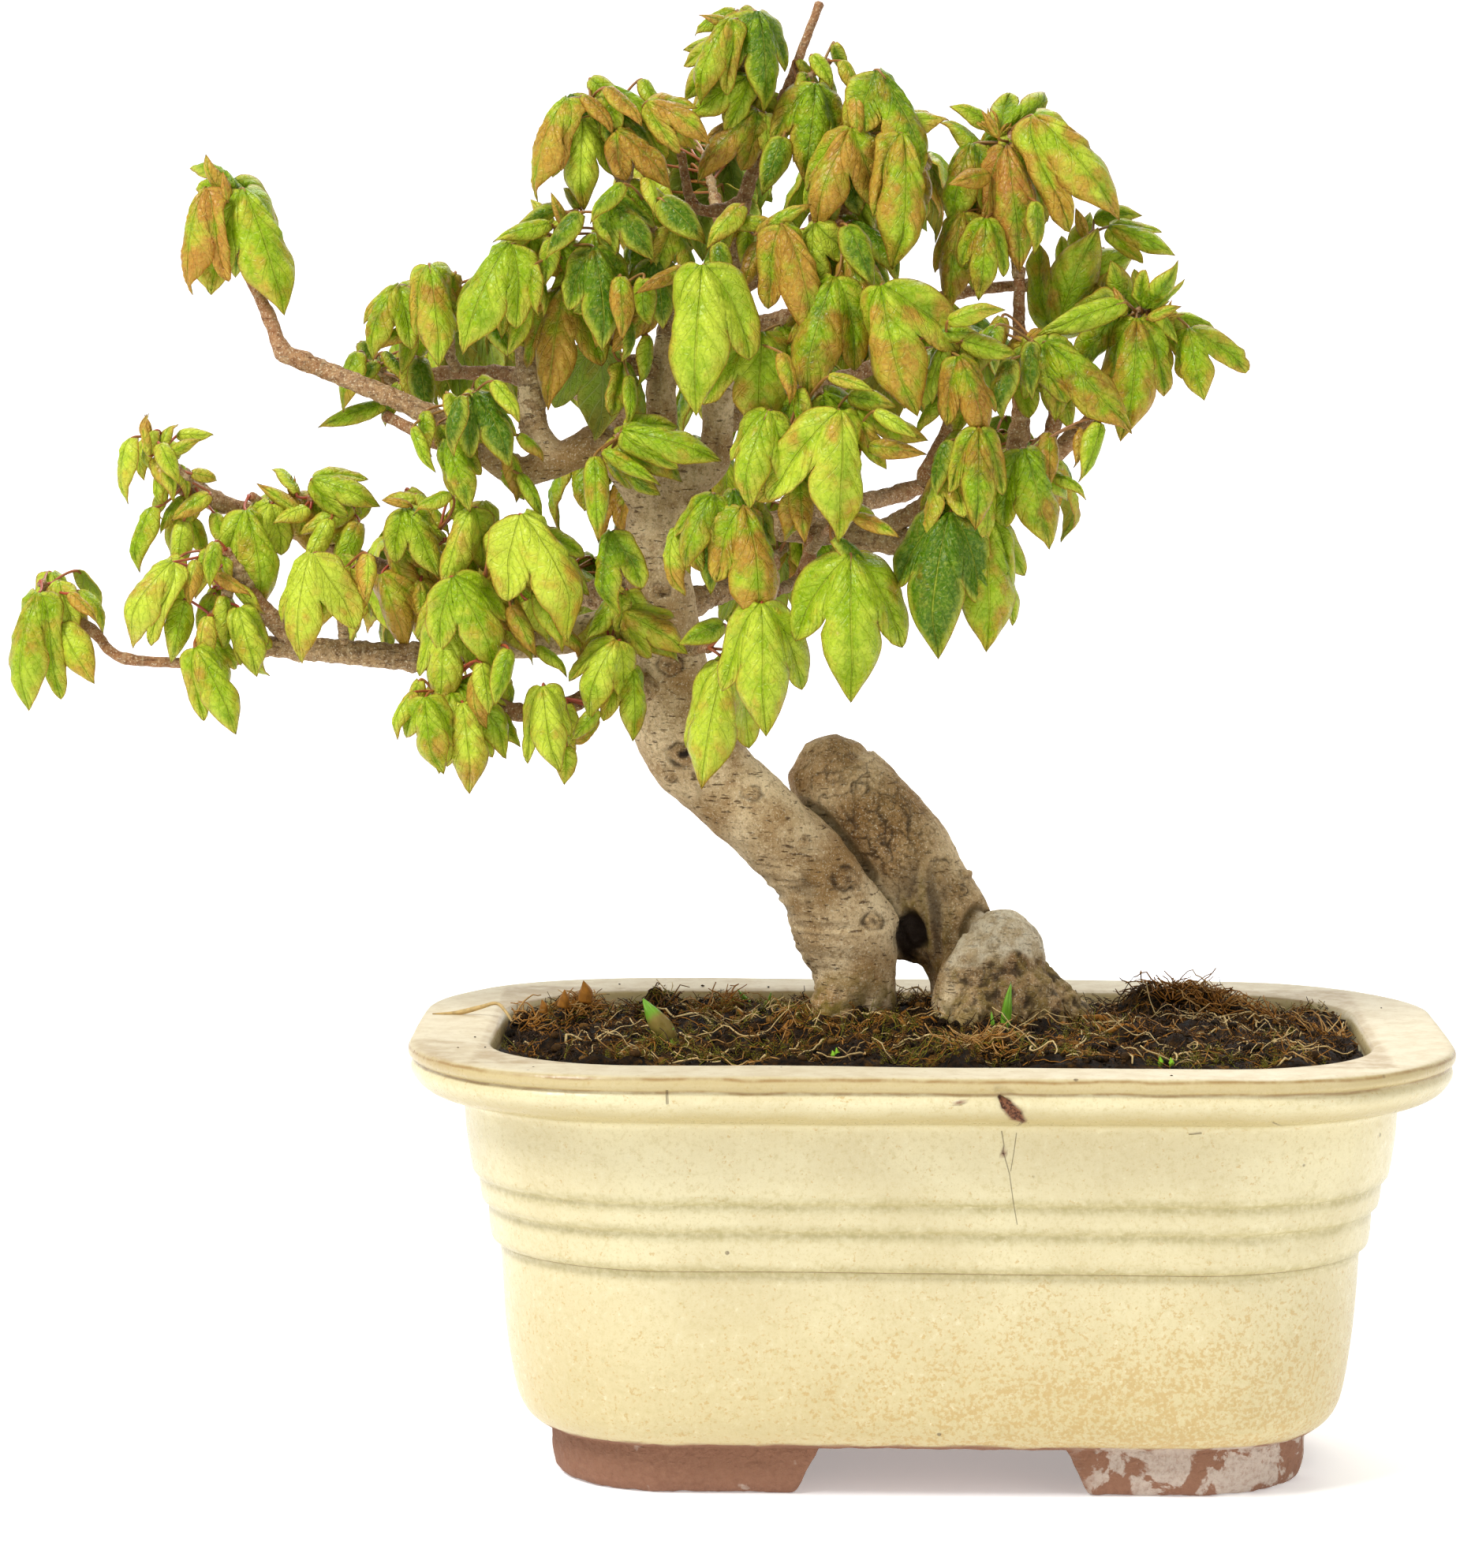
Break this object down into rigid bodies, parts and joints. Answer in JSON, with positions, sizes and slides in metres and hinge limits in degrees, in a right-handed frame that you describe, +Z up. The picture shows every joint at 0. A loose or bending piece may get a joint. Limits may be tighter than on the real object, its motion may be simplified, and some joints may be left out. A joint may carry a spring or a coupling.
{
  "type": "bonsai tree in a pot",
  "caption": "Leaning trident maple bonsai with a cut-back second trunk and drooping lobed leaves, in a cream-glazed rounded rectangular pot on corner feet.",
  "frame": {"origin": "middle of the object's box, on the surface that the pot's feet stand on", "axes": "+Z up, +X to the right along the pot's length, -Y towards the viewer at the pot's front"},
  "size_m": [0.251, 0.1172, 0.2529],
  "materials": {
    "glaze": "cream-yellow stoneware glaze, unglazed brown feet",
    "screen": "dark plastic drainage screen",
    "soil": "moist peat with moss and rootlets",
    "bark": "grey-beige bark",
    "leaf_green": "glossy puckered young leaf",
    "leaf_light": "glossy puckered young leaf, light",
    "leaf_bronze": "glossy young leaf flushed bronze"
  },
  "bodies": {
    "root": {"drain_screen_left": "screen", "drain_screen_right": "screen", "pot": "glaze", "seedling_blade": "leaf_green", "seedling_leaf": "leaf_bronze", "seedling_sprout": "leaf_light", "shoot_back_1": "leaf_green", "shoot_back_10": "leaf_green", "shoot_back_2": "leaf_bronze", "shoot_back_3": "leaf_green", "shoot_back_4": "leaf_green", "shoot_back_5": "leaf_bronze", "shoot_back_6": "leaf_green", "shoot_back_7": "leaf_green", "shoot_back_8": "leaf_bronze", "shoot_back_9": "leaf_green", "shoot_crown_1": "leaf_bronze", "shoot_crown_10": "leaf_light", "shoot_crown_11": "leaf_bronze", "shoot_crown_12": "leaf_bronze", "shoot_crown_2": "leaf_green", "shoot_crown_3": "leaf_bronze", "shoot_crown_4": "leaf_bronze", "shoot_crown_5": "leaf_green", "shoot_crown_6": "leaf_green", "shoot_crown_7": "leaf_green", "shoot_crown_8": "leaf_green", "shoot_crown_9": "leaf_bronze", "shoot_low_1": "leaf_green", "shoot_low_10": "leaf_light", "shoot_low_11": "leaf_light", "shoot_low_12": "leaf_light", "shoot_low_2": "leaf_green", "shoot_low_3": "leaf_green", "shoot_low_4": "leaf_green", "shoot_low_5": "leaf_light", "shoot_low_6": "leaf_green", "shoot_low_7": "leaf_light", "shoot_low_8": "leaf_bronze", "shoot_low_9": "leaf_light", "shoot_mid_1": "leaf_green", "shoot_mid_2": "leaf_green", "shoot_mid_3": "leaf_bronze", "shoot_mid_4": "leaf_green", "shoot_mid_5": "leaf_light", "shoot_mid_6": "leaf_green", "shoot_mid_7": "leaf_light", "shoot_mid_8": "leaf_bronze", "shoot_mid_9": "leaf_light", "shoot_right_1": "leaf_bronze", "shoot_right_2": "leaf_green", "shoot_right_3": "leaf_light", "shoot_right_4": "leaf_bronze", "shoot_right_5": "leaf_light", "shoot_right_6": "leaf_green", "shoot_right_7": "leaf_green", "soil": "soil", "tree_wood": "bark"}
  },
  "joints": []
}
